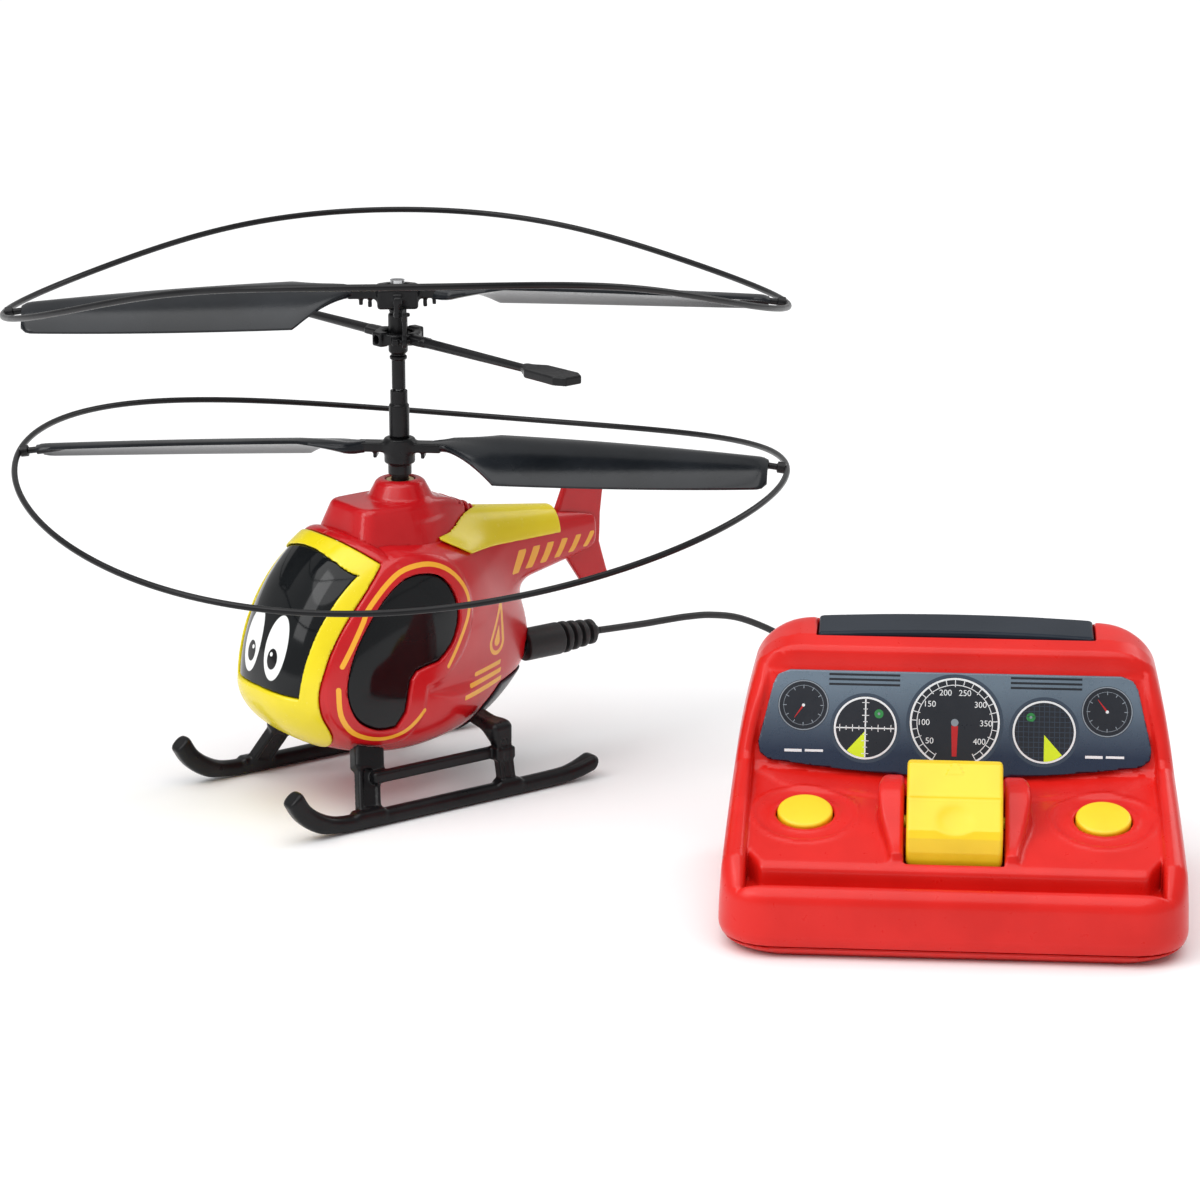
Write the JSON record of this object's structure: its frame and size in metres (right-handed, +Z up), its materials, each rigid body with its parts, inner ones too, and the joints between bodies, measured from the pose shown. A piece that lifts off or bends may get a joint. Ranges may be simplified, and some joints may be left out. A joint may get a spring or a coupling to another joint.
{
  "type": "remote control helicopter",
  "caption": "Toy coaxial helicopter with hoop-guarded rotors on skids, joined by a short charging lead to its wedge-shaped infrared controller with a throttle lever.",
  "frame": {"origin": "on the table under the middle of the set's outline, the charging lead and its plug left out", "axes": "+Z up from the table, +X towards the controller's side of the set, -Y towards the user, whom the controller's front faces"},
  "size_m": [0.3152, 0.2402, 0.1608],
  "materials": {
    "red_body_plastic": "glossy moulded red",
    "yellow_body_plastic": "glossy moulded yellow",
    "window_tint": "glossy near-black glazing",
    "belly_plastic": "satin dark blue-grey",
    "black_plastic": "satin black nylon",
    "blade_plastic": "glossy black polypropylene",
    "gear_plastic": "satin off-white acetal",
    "brass": "turned brass",
    "bright_steel": "bright steel",
    "battery_foil": "satin wrapped cell",
    "board_green": "green solder mask",
    "infrared_plastic": "glossy infrared-clear black",
    "red_case_plastic": "glossy moulded red",
    "gauge_print": "printed dial panel under clear film",
    "infrared_window_navy": "glossy dark navy",
    "yellow_control_plastic": "moulded yellow",
    "cord_rubber": "soft black PVC"
  },
  "bodies": {
    "controller": {"controller_top_case": "red_case_plastic", "controller_bottom_case": "red_case_plastic", "battery_door": "red_case_plastic", "battery_cell_1": "battery_foil", "battery_cell_2": "battery_foil", "battery_cell_3": "battery_foil", "controller_circuit_board": "board_green", "gauge_panel": "gauge_print", "infrared_window": "infrared_window_navy", "infrared_led": "infrared_plastic", "cord_grommet": "cord_rubber", "charge_cord": "cord_rubber", "charge_plug": "cord_rubber", "plug_tip": "bright_steel"},
    "airframe": {"left_body_shell": "red_body_plastic", "right_body_shell": "red_body_plastic", "left_side_window": "window_tint", "right_side_window": "window_tint", "nose_frame": "yellow_body_plastic", "windshield": "window_tint", "belly_tray": "belly_plastic", "rotor_cowl": "red_body_plastic", "boom_top_cover": "yellow_body_plastic", "tail_fin": "red_body_plastic", "left_landing_skid": "black_plastic", "right_landing_skid": "black_plastic", "front_motor": "bright_steel", "rear_motor": "bright_steel", "gearbox_frame": "black_plastic", "lower_mast_bearing": "brass", "upper_mast_bearing": "brass", "battery_pack": "battery_foil", "circuit_board": "board_green", "charge_socket": "black_plastic", "infrared_receiver": "infrared_plastic", "power_switch_body": "bright_steel"},
    "power_switch": {"power_switch_slider": "black_plastic"},
    "lower_rotor": {"outer_mast": "black_plastic", "lower_rotor_gear": "gear_plastic", "lower_rotor_hub": "black_plastic", "lower_blade_left": "blade_plastic", "lower_blade_right": "blade_plastic", "lower_hoop": "black_plastic"},
    "upper_shaft": {"inner_shaft": "bright_steel", "upper_rotor_gear": "gear_plastic", "rotor_head": "black_plastic", "head_screw": "bright_steel"},
    "upper_rotor": {"upper_rotor_hub": "black_plastic", "upper_blade_left": "blade_plastic", "upper_blade_right": "blade_plastic", "upper_hoop": "black_plastic"},
    "flybar": {"flybar": "black_plastic"},
    "rear_link": {"rear_mixing_link": "black_plastic"},
    "front_link": {"front_mixing_link": "black_plastic"},
    "front_pinion": {"front_pinion": "brass"},
    "rear_pinion": {"rear_pinion": "brass"},
    "lever": {"throttle_lever": "yellow_control_plastic"},
    "left_button": {"left_button": "yellow_control_plastic"},
    "right_button": {"right_button": "yellow_control_plastic"},
    "side_switch": {"side_switch": "yellow_control_plastic"}
  },
  "joints": [
    {"name": "helicopter_unplug", "type": "slide", "parent": "controller", "child": "airframe", "axis": [-0.7635, -0.6459, 0], "range_m": [0, 0.05]},
    {"name": "power_switch_slide", "type": "slide", "parent": "airframe", "child": "power_switch", "axis": [-0.7635, -0.6459, 0], "range_m": [0, 0.0028]},
    {"name": "lower_rotor_spin", "type": "hinge", "parent": "airframe", "child": "lower_rotor", "pos_m": [-0.051, 0.0125, 0.09], "axis": [0, 0, 1], "continuous": true},
    {"name": "upper_rotor_spin", "type": "hinge", "parent": "airframe", "child": "upper_shaft", "pos_m": [-0.051, 0.0125, 0.12], "axis": [0, 0, 1], "continuous": true},
    {"name": "upper_blade_feather", "type": "hinge", "parent": "upper_shaft", "child": "upper_rotor", "pos_m": [-0.051, 0.0125, 0.135], "axis": [0.9899, 0.1416, 0], "range_deg": [0, 10.8]},
    {"name": "flybar_seesaw", "type": "hinge", "parent": "upper_shaft", "child": "flybar", "pos_m": [-0.051, 0.0125, 0.1252], "axis": [0.7022, 0.712, 0], "range_deg": [0, 13.6]},
    {"name": "rear_link_travel", "type": "slide", "parent": "upper_shaft", "child": "rear_link", "axis": [0, 0, 1], "range_m": [0, 0.00152]},
    {"name": "front_link_travel", "type": "slide", "parent": "upper_shaft", "child": "front_link", "axis": [0, 0, -1], "range_m": [0, 0.00152]},
    {"name": "front_pinion_spin", "type": "hinge", "parent": "airframe", "child": "front_pinion", "pos_m": [-0.06085, 0.00417, 0.043], "axis": [0, 0, 1], "continuous": true},
    {"name": "rear_pinion_spin", "type": "hinge", "parent": "airframe", "child": "rear_pinion", "pos_m": [-0.04115, 0.02083, 0.034], "axis": [0, 0, 1], "continuous": true},
    {"name": "throttle_lever_pivot", "type": "hinge", "parent": "controller", "child": "lever", "pos_m": [0.0995, -0.093, 0.0275], "axis": [-1, 0, 0], "range_deg": [0, 22], "stiffness_Nm_per_rad": 0.02, "springref_deg": -14.32},
    {"name": "left_button_press", "type": "slide", "parent": "controller", "child": "left_button", "axis": [0, 0.279, -0.9603], "range_m": [0, 0.0015], "stiffness_N_per_m": 400, "springref_m": -0.0008},
    {"name": "right_button_press", "type": "slide", "parent": "controller", "child": "right_button", "axis": [0, 0.279, -0.9603], "range_m": [0, 0.0015], "stiffness_N_per_m": 400, "springref_m": -0.0008},
    {"name": "side_switch_slide", "type": "slide", "parent": "controller", "child": "side_switch", "axis": [0, 1, 0], "range_m": [0, 0.003]}
  ],
  "couplings": [
    {"joint": "front_pinion_spin", "follows": "lower_rotor_spin", "ratio": -3.7778},
    {"joint": "rear_pinion_spin", "follows": "upper_rotor_spin", "ratio": -3.7778},
    {"joint": "flybar_seesaw", "follows": "upper_blade_feather", "ratio": 1.2563},
    {"joint": "rear_link_travel", "follows": "upper_blade_feather", "m_per_rad": 0.008},
    {"joint": "front_link_travel", "follows": "upper_blade_feather", "m_per_rad": 0.008}
  ]
}
